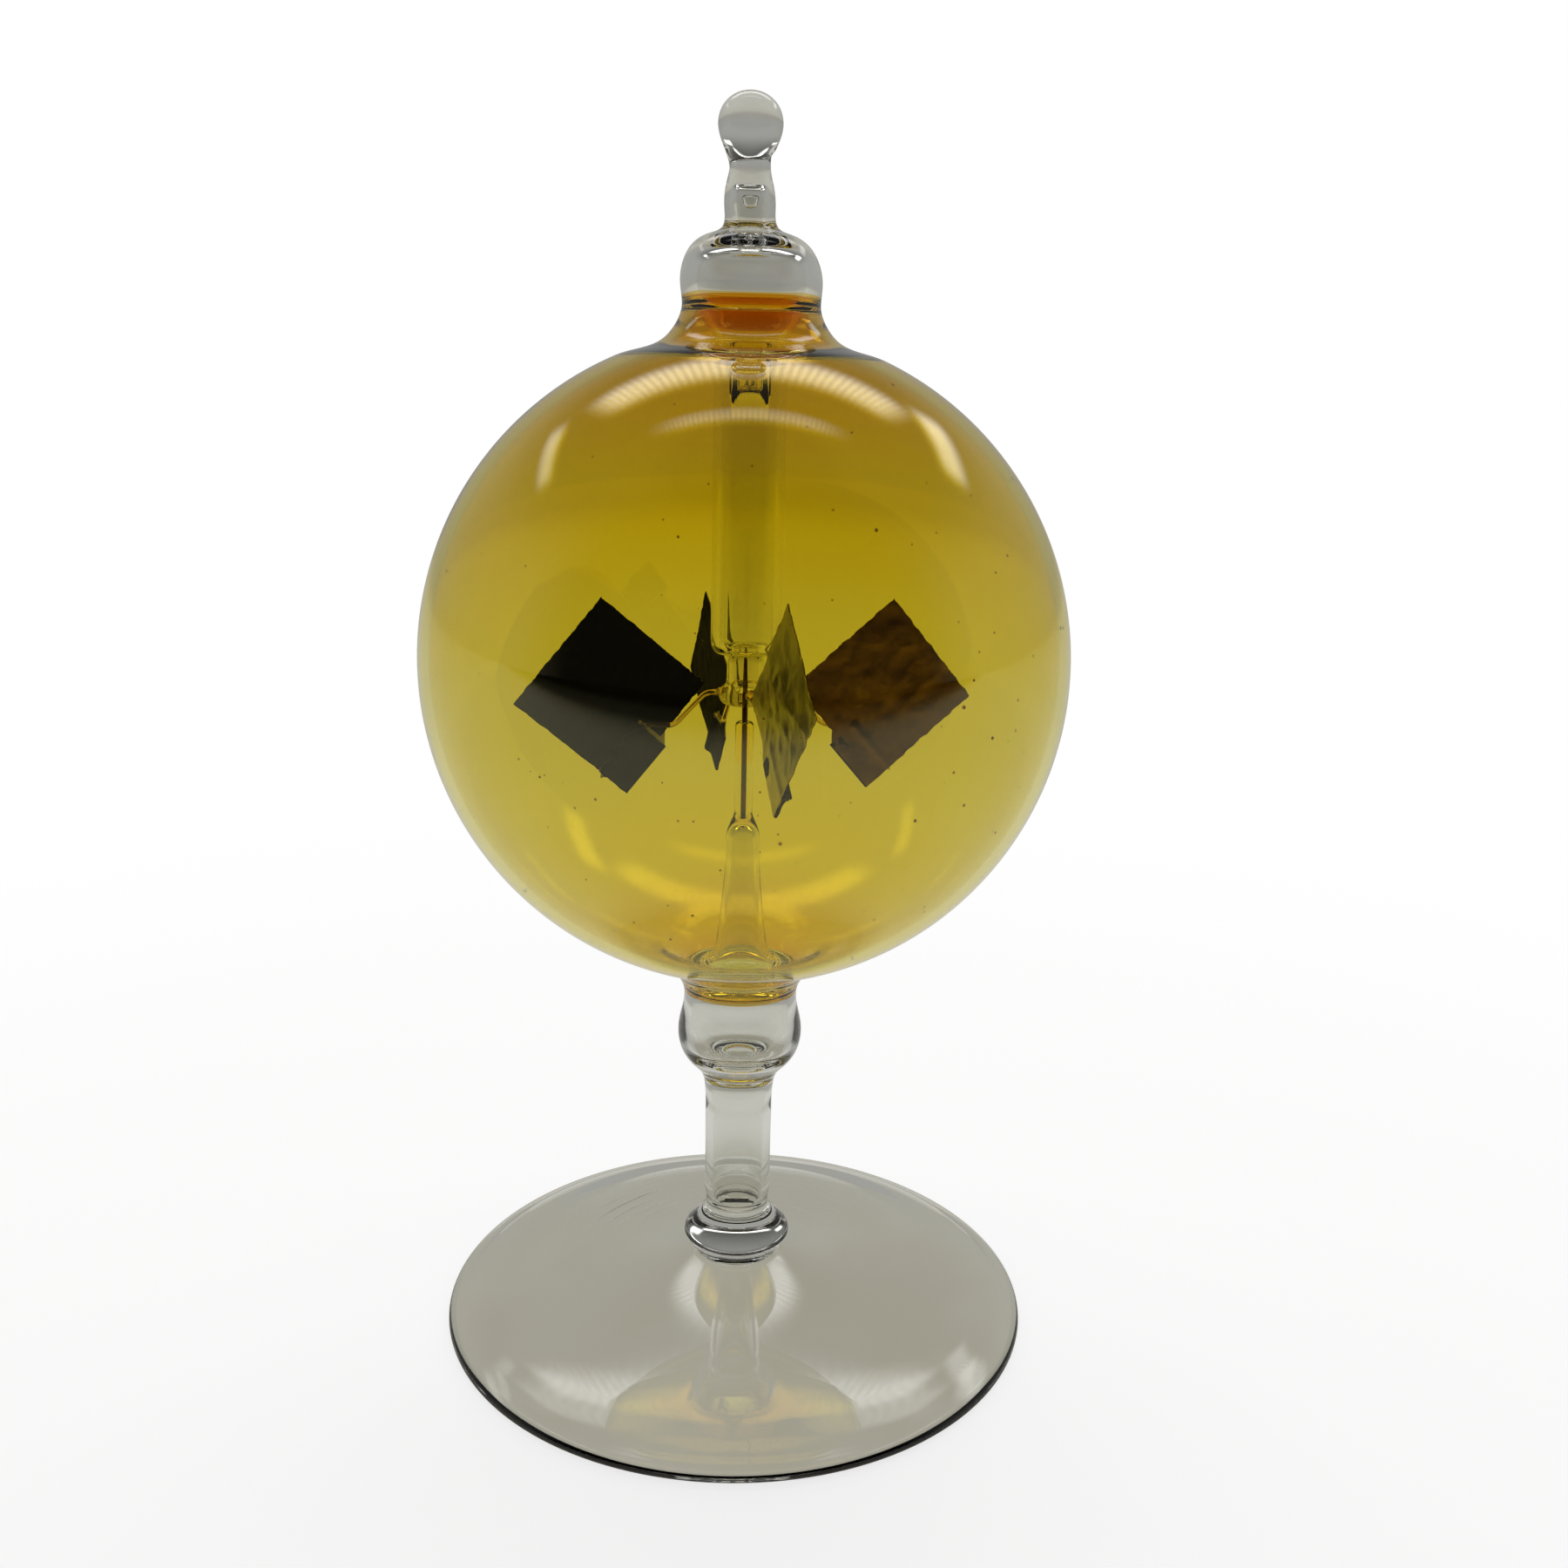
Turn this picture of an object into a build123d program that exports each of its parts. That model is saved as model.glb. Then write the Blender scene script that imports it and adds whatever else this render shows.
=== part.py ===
from build123d import *
from math import cos, radians, sin, sqrt
import os

# Glass radiometer: a bulb on a stem and disc foot, with a four-vane rotor balanced on a needle.
# Millimetres. The rotor's axis is +Z, and the rim of the foot stands on z = 0.

# Foot: an inverted saucer that flares up to its crown and turns down to a rounded rim
foot_r = 38.9
foot_wall = 1.8
foot_rim_height = 1.5
foot_rim_slope = 30
foot_rest_width = 1.0
foot_crown = 9.1
foot_flare_r = 14.0
foot_flare_height = 6.5
foot_turn_r = 33.6
foot_turn_height = 3.35
bead_seat_r = 5.8

# Stem: a solid bead on the foot, a tube and a hollow knop
bead_r = 7.0
bead_height = 6.9
bore_end_thickness = 4.9
stem_r = 4.38
stem_wall = 1.0
stem_length = 15.0
knop_r = 8.08
knop_height = 15.7
knop_wall = 1.5
knop_floor = 5.3
knop_web = 2.3

# Bulb
globe_r = 40.0
globe_wall = 1.3
waist_r = 7.35
neck_r = 8.23
shoulder_r = 16.0
lower_shoulder_rise = 5.54
upper_shoulder_rise = 6.29

# Clear cap, drawn seal-off and ball
cap_r = 8.46
cap_wall = 1.9
cap_height = 8.15
seal_r = 3.2
seal_waist_r = 2.35
seal_length = 7.5
seal_bore_r = 1.9
seal_bore_length = 4.4
ball_r = 3.78
ball_height = 7.7

# Post, capillary and needle
post_top_r = 2.17
post_root_r = 3.4
post_wall = 0.9
post_height = 21.8
holder_r = 1.175
holder_length = 12.8
needle_r = 0.35
needle_length = 21.92
needle_taper = 4.6
needle_tip_r = 0.05

# Guide tube hanging from the upper neck
guide_r = 4.4
guide_wall = 1.0
lip_turn_r = 0.65
flare_length = 5.9
vent_width = 4.4
vent_height = 2.4
vent_drop = 7.8

# Bearing cup and hub bead
cup_r = 2.335
cup_wall = 0.7
cup_crown = 0.85
cup_length = 5.15
cup_engagement = 1.35
hub_r = 3.3
hub_height = 2.6

# Arms and vanes
arm_r = 0.33
arm_bend_r = 0.8
arm_overhang = 0.5
vane_side = 16.9
foil_thickness = 0.15
soot_thickness = 0.08
hem_fold = 1.4
hem_return = 3.25
hem_start = 9.2
hem_gap = 0.15
arm_inset = 2.6
vane_angles = (13, 106, 193, 286)
vane_radii = (18.2, 19.1, 17.0, 17.4)
vane_lifts = (0.0, -1.4, 0.4, 1.6)
vane_droops = (4.4, 2.3, 4.9, -6.0)
vane_leans = (0.0, -3.4, 0.0, -3.6)

# Clearances
tip_gap = 0.08
bore_gap = 0.05
lip_gap = 0.4
neck_gap = 0.07
foil_gap = 0.03

# Heights, stacked upwards from the table
bead_top = foot_crown + bead_height
knop_base = bead_top + stem_length
lower_joint = knop_base + knop_height
shoulder_offset = sqrt(globe_r**2 - shoulder_r**2)
globe_z = lower_joint + lower_shoulder_rise + shoulder_offset
upper_joint = globe_z + shoulder_offset + upper_shoulder_rise
cap_top = upper_joint + cap_height
seal_top = cap_top + seal_length
ball_top = seal_top + ball_height
post_top = lower_joint + post_height
needle_tip = post_top + needle_length
cup_apex = needle_tip + tip_gap
cup_top = cup_apex + cup_crown
cup_base = cup_top - cup_length
hub_base = cup_base - hub_height
hub_middle = hub_base + hub_height / 2
lip_base = cup_top - cup_engagement


def keep_wall(low, high):
    """Keeps the part of a section that is right of the axis and between two heights."""
    with Locations((0, low)):
        Rectangle(2 * globe_r, high - low, align=(Align.MIN, Align.MIN), mode=Mode.INTERSECT)


# Foot
rim_r = foot_rim_height / 2
rim_centre = foot_r - rim_r
rim_slope = radians(foot_rim_slope)
rim_edge = rim_centre + rim_r * sin(rim_slope)
rim_top = rim_r + rim_r * cos(rim_slope)
rest_inner_r = rim_centre - foot_rest_width
underside = foot_crown - foot_wall
with BuildPart() as foot:
    with BuildSketch(Plane.XZ):
        with BuildLine():
            Line((0, foot_crown), (bead_seat_r, foot_crown))
            Spline(
                (bead_seat_r, foot_crown),
                (foot_flare_r, foot_flare_height),
                (foot_turn_r, foot_turn_height),
                ((foot_turn_r + foot_r) / 2, 0.45 * foot_turn_height + 0.55 * rim_top),
                (rim_edge, rim_top),
                tangents=((1, -0.45), (cos(rim_slope), -sin(rim_slope))),
            )
            ThreePointArc((rim_edge, rim_top), (foot_r, rim_r), (rim_centre, 0))
            Line((rim_centre, 0), (rest_inner_r, 0))
            Spline(
                (rest_inner_r, 0),
                (foot_turn_r - foot_wall / 4, foot_turn_height - foot_wall),
                (foot_flare_r - foot_wall / 4, foot_flare_height - foot_wall),
                (bead_seat_r, underside),
                tangents=((-1, 0.55), (-1, 0.45)),
            )
            Line((bead_seat_r, underside), (0, underside))
            Line((0, underside), (0, foot_crown))
        make_face()
    revolve(axis=Axis.Z)
foot.part.label = "foot"

# Bead on the crown of the foot, with the rounded end of the stem's bore in its top
stem_bore_r = stem_r - stem_wall
bead_widest = foot_crown + 0.15 * bead_height
bead_slope = foot_crown + 0.5 * bead_height
bore_end = foot_crown + bore_end_thickness
with BuildPart() as stem_bead:
    with BuildSketch(Plane.XZ):
        with BuildLine():
            Line((0, foot_crown), (bead_seat_r, foot_crown))
            Spline(
                (bead_seat_r, foot_crown),
                (bead_r, bead_widest),
                ((bead_r + stem_r) / 2 + 0.4, bead_slope),
                (stem_r, bead_top),
                tangents=((1, 0.4), (0, 1)),
            )
            Line((stem_r, bead_top), (stem_bore_r, bead_top))
            Spline((stem_bore_r, bead_top), (0, bore_end), tangents=((0, -1), (-1, 0)))
            Line((0, bore_end), (0, foot_crown))
        make_face()
    revolve(axis=Axis.Z)
stem_bead.part.label = "stem_bead"

# Stem tube
with BuildPart() as stem_tube:
    with BuildSketch(Plane.XY.offset(bead_top)):
        Circle(stem_r)
        Circle(stem_bore_r, mode=Mode.SUBTRACT)
    extrude(amount=stem_length)
stem_tube.part.label = "stem_tube"

# Knop: the bore of the stem ends under a web, and the hollow above it opens into the post
knop_shoulder = knop_base + 0.33 * knop_height
knop_widest = knop_base + 0.6 * knop_height
knop_waist = knop_base + 0.88 * knop_height
joint_r = waist_r + 0.2
hollow_base = knop_base + knop_floor
web_base = hollow_base - knop_web
post_flange_r = waist_r - globe_wall - neck_gap
with BuildPart() as knop:
    with BuildSketch(Plane.XZ):
        with BuildLine():
            Line((0, web_base), (0, hollow_base))
            Spline(
                (0, hollow_base),
                (0.8 * (knop_r - knop_wall), hollow_base + 0.12 * knop_height),
                (knop_r - knop_wall, knop_widest),
                (post_flange_r - 1.0, lower_joint),
                tangents=((1, 0), (-0.2, 1)),
            )
            Line((post_flange_r - 1.0, lower_joint), (joint_r, lower_joint))
            Spline(
                (joint_r, lower_joint),
                (waist_r, knop_waist),
                (knop_r, knop_widest),
                (0.87 * knop_r, knop_shoulder),
                (stem_r, knop_base),
                tangents=((-0.4, -1), (0, -1)),
            )
            Line((stem_r, knop_base), (stem_bore_r, knop_base))
            Spline((stem_bore_r, knop_base), (0, web_base), tangents=((0, 1), (-1, 0)))
        make_face()
    revolve(axis=Axis.Z)
knop.part.label = "knop"

# Bulb: a sphere whose shoulders sweep into a short neck below and above, drawn at mid-wall
mid_globe_r = globe_r - globe_wall / 2
mid_shoulder_r = shoulder_r * mid_globe_r / globe_r
mid_offset = shoulder_offset * mid_globe_r / globe_r
mid_waist_r = waist_r - globe_wall / 2
mid_neck_r = neck_r - globe_wall / 2
low_shoulder = (mid_shoulder_r, globe_z - mid_offset)
high_shoulder = (mid_shoulder_r, globe_z + mid_offset)
with BuildPart() as globe:
    with BuildSketch(Plane.XZ):
        with BuildLine():
            Line((mid_waist_r, knop_waist - 1.0), (mid_waist_r, knop_waist))
            Spline(
                (mid_waist_r, knop_waist),
                (mid_waist_r + 1.5, lower_joint + 0.4 * lower_shoulder_rise),
                low_shoulder,
                tangents=((0, 1), (shoulder_offset, shoulder_r)),
            )
            ThreePointArc(low_shoulder, (mid_globe_r, globe_z), high_shoulder)
            Spline(
                high_shoulder,
                (mid_neck_r + 0.9, upper_joint - 0.5 * upper_shoulder_rise),
                (mid_neck_r, upper_joint),
                tangents=((-shoulder_offset, shoulder_r), (0, 1)),
            )
            Line((mid_neck_r, upper_joint), (mid_neck_r, upper_joint + 1.0))
        trace(line_width=globe_wall)
        keep_wall(lower_joint, upper_joint)
    revolve(axis=Axis.Z)
globe.part.label = "globe"

# Clear cap over the upper neck
cap_widest = upper_joint + 0.3 * cap_height
with BuildPart() as neck_cap:
    with BuildSketch(Plane.XZ):
        with BuildLine():
            Line((neck_r, upper_joint - 1.0), (neck_r, upper_joint))
            Spline(
                (neck_r, upper_joint),
                (cap_r, cap_widest),
                (0.8 * cap_r, upper_joint + 0.8 * cap_height),
                (seal_r, cap_top),
                tangents=((0.15, 1), (-0.6, 1)),
            )
            Line((seal_r, cap_top), (seal_bore_r, cap_top))
            Line((seal_bore_r, cap_top), (seal_bore_r, cap_top - cap_wall))
            Spline(
                (seal_bore_r, cap_top - cap_wall),
                (0.7 * (cap_r - cap_wall), cap_top - 1.4 * cap_wall),
                (cap_r - cap_wall, cap_widest),
                (neck_r - cap_wall, upper_joint),
                tangents=((1, -0.1), (-0.15, -1)),
            )
            Line((neck_r - cap_wall, upper_joint), (neck_r - cap_wall, upper_joint - 1.0))
            Line((neck_r - cap_wall, upper_joint - 1.0), (neck_r, upper_joint - 1.0))
        make_face()
        keep_wall(upper_joint, cap_top)
    revolve(axis=Axis.Z)
neck_cap.part.label = "neck_cap"

# Drawn seal-off with the blind end of the bore
with BuildPart() as finial_stem:
    with BuildSketch(Plane.XZ):
        with BuildLine():
            Line((seal_bore_r, cap_top), (seal_r, cap_top))
            Spline(
                (seal_r, cap_top),
                (0.45 * seal_r + 0.55 * seal_waist_r + 0.2, cap_top + 0.55 * seal_length),
                (seal_waist_r, seal_top),
                tangents=((-0.4, 1), (0, 1)),
            )
            Line((seal_waist_r, seal_top), (0, seal_top))
            Line((0, seal_top), (0, cap_top + seal_bore_length))
            Spline(
                (0, cap_top + seal_bore_length),
                (0.6 * seal_bore_r, cap_top + 0.75 * seal_bore_length),
                (seal_bore_r, cap_top),
                tangents=((1, 0), (0, -1)),
            )
        make_face()
    revolve(axis=Axis.Z)
finial_stem.part.label = "finial_stem"

# Ball
ball_z = ball_top - 0.455 * ball_height
with BuildPart() as finial_ball:
    with BuildSketch(Plane.XZ):
        with BuildLine():
            Line((0, seal_top), (seal_waist_r, seal_top))
            Spline(
                (seal_waist_r, seal_top),
                (0.85 * ball_r, 0.54 * ball_z + 0.46 * seal_top),
                (ball_r, ball_z),
                tangents=((0, 1), (0, 1)),
            )
            Spline((ball_r, ball_z), (0, ball_top), tangents=((0, 1), (-1, 0)))
            Line((0, ball_top), (0, seal_top))
        make_face()
    revolve(axis=Axis.Z)
finial_ball.part.label = "finial_ball"

# Guide tube: the lip turns in round the bearing cup, and the top flares out under the cap
guide_mid_r = guide_r - guide_wall / 2
lip_opening_r = cup_r + lip_gap
flare_mid_r = neck_r - globe_wall - neck_gap - guide_wall / 2
flare_base = upper_joint - flare_length
lip_z = lip_base + guide_wall / 2
with BuildPart() as guide_tube:
    with BuildSketch(Plane.XZ):
        with BuildLine():
            Line((lip_opening_r, lip_z), (guide_mid_r - lip_turn_r, lip_z))
            TangentArc(
                (guide_mid_r - lip_turn_r, lip_z),
                (guide_mid_r, lip_z + lip_turn_r),
                tangent=(1, 0),
            )
            Line((guide_mid_r, lip_z + lip_turn_r), (guide_mid_r, flare_base))
            Spline((guide_mid_r, flare_base), (flare_mid_r, upper_joint), tangents=((0, 1), (0.3, 1)))
            Line((flare_mid_r, upper_joint), (flare_mid_r + 0.3, upper_joint + 1.0))
        trace(line_width=guide_wall)
        keep_wall(lip_base, upper_joint)
    revolve(axis=Axis.Z)
    with BuildSketch(Plane.XZ):
        with Locations((0, upper_joint - vent_drop)):
            SlotOverall(vent_width, vent_height)
    extrude(amount=guide_r, mode=Mode.SUBTRACT)
guide_tube.part.label = "guide_tube"

# Hollow post, drawn at mid-wall: its root flares out to the wall of the lower neck
post_mid_top = post_top - post_wall / 2
post_mid_r = post_top_r - post_wall / 2
flange_mid_r = post_flange_r - post_wall / 2
with BuildPart() as spindle_post:
    with BuildSketch(Plane.XZ):
        with BuildLine():
            Line((0, post_mid_top), (post_mid_r / 2, post_mid_top))
            Spline(
                (post_mid_r / 2, post_mid_top),
                (post_mid_r, post_top - 2.0),
                (post_root_r - post_wall / 2, post_top - 0.8 * post_height),
                (flange_mid_r, lower_joint),
                tangents=((1, 0), (0.3, -1)),
            )
            Line((flange_mid_r, lower_joint), (flange_mid_r + 0.3, lower_joint - 1.0))
        trace(line_width=post_wall)
        keep_wall(lower_joint, post_top)
    revolve(axis=Axis.Z)
spindle_post.part.label = "spindle_post"

# Capillary and needle
with BuildPart() as needle_holder:
    with BuildSketch(Plane.XY.offset(post_top)):
        Circle(holder_r)
        Circle(needle_r + bore_gap, mode=Mode.SUBTRACT)
    extrude(amount=holder_length)
    fillet(needle_holder.faces().sort_by(Axis.Z)[-1].outer_wire().edges(), holder_r / 4)
needle_holder.part.label = "needle_holder"

with BuildPart() as needle:
    with BuildSketch(Plane.XZ):
        with BuildLine():
            Polyline(
                (0, post_top),
                (needle_r, post_top),
                (needle_r, needle_tip - needle_taper),
                (needle_tip_r, needle_tip - needle_tip_r),
                (0, needle_tip),
                close=True,
            )
        make_face()
    revolve(axis=Axis.Z)
needle.part.label = "needle"

# Bearing cup: a thimble with a domed crown, resting on the needle's tip
cup_bore_r = cup_r - cup_wall
with BuildPart() as bearing_cup:
    with BuildSketch(Plane.XZ):
        with BuildLine():
            Line((cup_bore_r, cup_base), (cup_r, cup_base))
            Line((cup_r, cup_base), (cup_r, cup_top - cup_r))
            TangentArc((cup_r, cup_top - cup_r), (0, cup_top), tangent=(0, 1))
            Line((0, cup_top), (0, cup_apex))
            TangentArc((cup_bore_r, cup_apex - cup_bore_r), (0, cup_apex), tangent=(0, 1))
            Line((cup_bore_r, cup_apex - cup_bore_r), (cup_bore_r, cup_base))
        make_face()
    revolve(axis=Axis.Z)
bearing_cup.part.label = "bearing_cup"

# Hub bead under the cup, into which the arms are fused
with BuildPart() as hub_ring:
    with BuildSketch(Plane.XZ):
        with BuildLine():
            Polyline((cup_r, hub_base), (cup_bore_r, hub_base), (cup_bore_r, cup_base), (cup_r, cup_base))
            ThreePointArc((cup_r, cup_base), (hub_r, hub_middle), (cup_r, hub_base))
        make_face()
    revolve(axis=Axis.Z)
hub_ring.part.label = "hub_ring"

# Each vane hangs cornerwise, with its plane leaning a little to one side
half_diagonal = vane_side / sqrt(2)
foil_z = arm_r + foil_gap + soot_thickness + foil_thickness / 2
fold_r = (foil_thickness + hem_gap) / 2
fold_start = -hem_fold + fold_r + foil_thickness / 2
flap_z = foil_z - 2 * fold_r
ridge_z = -(arm_r + 2 * foil_gap + foil_thickness / 2)
ridge_half = arm_r + 2 * foil_gap


def vane_plane(angle, radius, lift, droop, lean):
    """Origin at the inner corner, X down the hemmed edge, Y into the vane, Z out of the bright face."""
    outward = Vector(cos(radians(angle)), sin(radians(angle)), 0)
    sideways = outward.cross(Vector(0, 0, 1))
    upward = Vector(0, 0, 1) * cos(radians(lean)) + sideways * sin(radians(lean))
    to_corner = outward * cos(radians(droop)) - upward * sin(radians(droop))
    to_top = outward * sin(radians(droop)) + upward * cos(radians(droop))
    centre = outward * radius + Vector(0, 0, hub_middle + lift)
    return Plane(
        origin=centre - to_corner * half_diagonal, x_dir=to_corner - to_top, z_dir=outward.cross(upward)
    )


def make_arm(plane, angle):
    """Filament from the hub down beside the vane's lower inner edge and into its hem."""
    outward = Vector(cos(radians(angle)), sin(radians(angle)), 0)
    root = plane.to_local_coords(outward * (hub_r - 2 * arm_r) + Vector(0, 0, hub_middle + arm_r))
    with BuildPart() as arm:
        with BuildLine(plane) as path:
            FilletPolyline(
                (root.X, root.Y),
                (0.8, -2.2 * arm_r),
                (hem_start - 2.6, -arm_r),
                (hem_start - 0.6, arm_inset),
                (vane_side + arm_overhang, arm_inset),
                radius=arm_bend_r,
            )
        with BuildSketch(Plane(origin=path.line @ 0, z_dir=path.line % 0)):
            Circle(arm_r)
        sweep()
    return arm.part


def make_foil(plane):
    """Square foil with a hem folded back over the arm on its blackened side."""
    hem_plane = Plane(
        origin=plane.from_local_coords((hem_start, 0, 0)), x_dir=plane.y_dir, z_dir=plane.x_dir
    )
    with BuildPart() as foil:
        with BuildSketch(plane.offset(foil_z - foil_thickness / 2)):
            with BuildLine():
                Polyline(
                    (0, 0),
                    (hem_start - hem_fold, 0),
                    (hem_start, fold_start),
                    (vane_side, fold_start),
                    (vane_side, vane_side),
                    (0, vane_side),
                    close=True,
                )
            make_face()
        extrude(amount=foil_thickness)
        with BuildSketch(hem_plane):
            with BuildLine():
                Line((0, foil_z), (fold_start, foil_z))
                ThreePointArc(
                    (fold_start, foil_z), (fold_start - fold_r, foil_z - fold_r), (fold_start, flap_z)
                )
                FilletPolyline(
                    (fold_start, flap_z),
                    (arm_inset - 2 * ridge_half, flap_z),
                    (arm_inset - ridge_half, ridge_z),
                    (arm_inset + ridge_half, ridge_z),
                    (hem_return, ridge_z + arm_r),
                    radius=foil_thickness,
                )
            trace(line_width=foil_thickness)
        extrude(amount=vane_side - hem_start)
    return foil.part


def make_soot(plane):
    """Lamp-black coat on the face that the hem leaves free."""
    with BuildPart() as soot:
        with BuildSketch(plane.offset(foil_z - foil_thickness / 2 - soot_thickness)):
            with BuildLine():
                Polyline(
                    (0, 0),
                    (hem_start - hem_fold, 0),
                    (hem_start - hem_fold, hem_return + hem_gap),
                    (vane_side, hem_return + hem_gap),
                    (vane_side, vane_side),
                    (0, vane_side),
                    close=True,
                )
            make_face()
        extrude(amount=soot_thickness)
    return soot.part


rotor_parts = []
vanes = zip(vane_angles, vane_radii, vane_lifts, vane_droops, vane_leans)
for number, vane in enumerate(vanes, start=1):
    plane = vane_plane(*vane)
    arm = make_arm(plane, vane[0])
    arm.label = f"arm_{number}"
    foil = make_foil(plane)
    foil.label = f"vane_foil_{number}"
    soot = make_soot(plane)
    soot.label = f"soot_face_{number}"
    rotor_parts += [arm, foil, soot]

os.makedirs("parts", exist_ok=True)
export_step(foot.part, "parts/foot.step")
export_step(stem_bead.part, "parts/stem_bead.step")
export_step(stem_tube.part, "parts/stem_tube.step")
export_step(knop.part, "parts/knop.step")
export_step(globe.part, "parts/globe.step")
export_step(neck_cap.part, "parts/neck_cap.step")
export_step(finial_stem.part, "parts/finial_stem.step")
export_step(finial_ball.part, "parts/finial_ball.step")
export_step(guide_tube.part, "parts/guide_tube.step")
export_step(spindle_post.part, "parts/spindle_post.step")
export_step(needle_holder.part, "parts/needle_holder.step")
export_step(needle.part, "parts/needle.step")
export_step(bearing_cup.part, "parts/bearing_cup.step")
export_step(hub_ring.part, "parts/hub_ring.step")
for piece in rotor_parts:
    export_step(piece, f"parts/{piece.label}.step")
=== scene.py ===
import bpy
import bmesh
from math import cos, exp, pi, radians, sin, sqrt
from mathutils import Matrix, Vector, noise


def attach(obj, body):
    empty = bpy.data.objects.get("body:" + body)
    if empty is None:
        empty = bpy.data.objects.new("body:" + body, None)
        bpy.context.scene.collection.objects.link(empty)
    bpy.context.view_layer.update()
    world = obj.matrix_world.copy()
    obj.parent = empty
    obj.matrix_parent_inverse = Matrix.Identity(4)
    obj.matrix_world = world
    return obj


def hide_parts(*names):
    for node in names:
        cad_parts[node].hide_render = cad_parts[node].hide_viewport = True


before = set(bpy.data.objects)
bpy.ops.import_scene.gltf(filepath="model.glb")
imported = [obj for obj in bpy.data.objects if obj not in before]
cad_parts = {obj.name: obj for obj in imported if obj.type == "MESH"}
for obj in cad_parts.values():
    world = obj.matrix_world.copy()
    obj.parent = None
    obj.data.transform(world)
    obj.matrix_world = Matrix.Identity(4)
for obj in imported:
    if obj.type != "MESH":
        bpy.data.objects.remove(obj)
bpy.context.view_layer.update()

MM = 0.001
TURNS = 160
scene = bpy.context.scene


# Colours and nodes

def linear(hexa, alpha=1.0):
    """An sRGB hex colour as the linear values that the shader takes."""
    out = []
    for i in (0, 2, 4):
        c = int(hexa[i:i + 2], 16) / 255
        out.append(c / 12.92 if c <= 0.04045 else ((c + 0.055) / 1.055) ** 2.4)
    return (*out, alpha)


def node(tree, kind, settings=None, **links):
    """Adds one node, sets its plain properties, and fills or links its inputs by name or number."""
    new = tree.nodes.new(kind)
    for key, value in (settings or {}).items():
        setattr(new, key, value)
    for key, value in links.items():
        numbered = key[0] == "i" and key[1:].isdigit()
        socket = new.inputs[int(key[1:]) if numbered else key.replace("_", " ")]
        if isinstance(value, bpy.types.NodeSocket):
            tree.links.new(value, socket)
        else:
            socket.default_value = value
    return new


def ramp(tree, factor, stops, interpolation="EASE"):
    """A colour ramp over (position, colour) stops."""
    made = node(tree, "ShaderNodeValToRGB", None, Fac=factor)
    made.color_ramp.interpolation = interpolation
    elements = made.color_ramp.elements
    while len(elements) < len(stops):
        elements.new(0.5)
    for element, (position, colour) in zip(elements, stops):
        element.position = position
        element.color = colour
    return made.outputs["Color"]


def new_material(name):
    made = bpy.data.materials.new(name)
    made.use_nodes = True
    made.node_tree.nodes.clear()
    return made, made.node_tree


# Profiles: lists of (radius, height) in millimetres

def spline(points, start, end, steps=10):
    """Smooth curve through the points, leaving along start and arriving along end."""
    n = len(points)
    pts = [Vector(p) for p in points]
    gaps = [(pts[i + 1] - pts[i]).length for i in range(n - 1)]
    first = Vector(start).normalized()
    last = Vector(end).normalized()
    slopes = [None] * n
    lower = [0.0] * n
    diag = [1.0] * n
    upper = [0.0] * n
    right = [first] + [None] * (n - 2) + [last]
    for i in range(1, n - 1):
        before, after = gaps[i - 1], gaps[i]
        lower[i] = after
        diag[i] = 2 * (before + after)
        upper[i] = before
        right[i] = 3 * (after * (pts[i] - pts[i - 1]) / before + before * (pts[i + 1] - pts[i]) / after)
    for i in range(1, n):
        w = lower[i] / diag[i - 1]
        diag[i] -= w * upper[i - 1]
        right[i] = right[i] - w * right[i - 1]
    slopes[n - 1] = right[n - 1] / diag[n - 1]
    for i in range(n - 2, -1, -1):
        slopes[i] = (right[i] - upper[i] * slopes[i + 1]) / diag[i]
    out = []
    for i in range(n - 1):
        for k in range(steps + (i == n - 2)):
            t = k / steps
            h = gaps[i]
            out.append(tuple(
                (2 * t**3 - 3 * t**2 + 1) * pts[i] + (t**3 - 2 * t**2 + t) * h * slopes[i]
                + (3 * t**2 - 2 * t**3) * pts[i + 1] + (t**3 - t**2) * h * slopes[i + 1]
            ))
    return out


def arc(centre, radius, start, end, steps):
    """Circular arc between two angles in degrees, measured from the outward direction upwards."""
    out = []
    for k in range(steps + 1):
        a = radians(start + (end - start) * k / steps)
        out.append((centre[0] + radius * cos(a), centre[1] + radius * sin(a)))
    return out


def chain(*runs):
    """Joins runs of points and drops the doubles where they meet."""
    out = []
    for run in runs:
        for p in run:
            if not out or (Vector(p) - Vector(out[-1])).length > 1e-4:
                out.append(tuple(p))
    return out


def add_lathe(bm, profile, turns=TURNS, warp=None, finish=None):
    """Turns a profile about the axis, with the glass on its left. Warp shifts a point, in millimetres,
    from its radius, height and angle, and finish picks a face's material."""
    rings = []
    for r, z in profile:
        if r < 1e-5:
            pole = Vector((0, 0, z)) + (warp(0, z, 0) if warp else Vector())
            rings.append([bm.verts.new(pole * MM)])
            continue
        ring = []
        for k in range(turns):
            a = 2 * pi * k / turns
            at = Vector((r * cos(a), r * sin(a), z))
            if warp:
                at += warp(r, z, a)
            ring.append(bm.verts.new(at * MM))
        rings.append(ring)
    closed = profile[0][0] > 1e-5
    count = len(rings)
    for i in range(count if closed else count - 1):
        low, high = rings[i], rings[(i + 1) % count]
        slot = finish(i if i + 1 < count else 0) if finish else 0
        for k in range(turns):
            n = (k + 1) % turns
            if len(low) == 1 and len(high) == 1:
                continue
            if len(low) == 1:
                corners = (low[0], high[n], high[k])
            elif len(high) == 1:
                corners = (low[k], low[n], high[0])
            else:
                corners = (low[k], low[n], high[n], high[k])
            bm.faces.new(corners).material_index = slot


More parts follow.
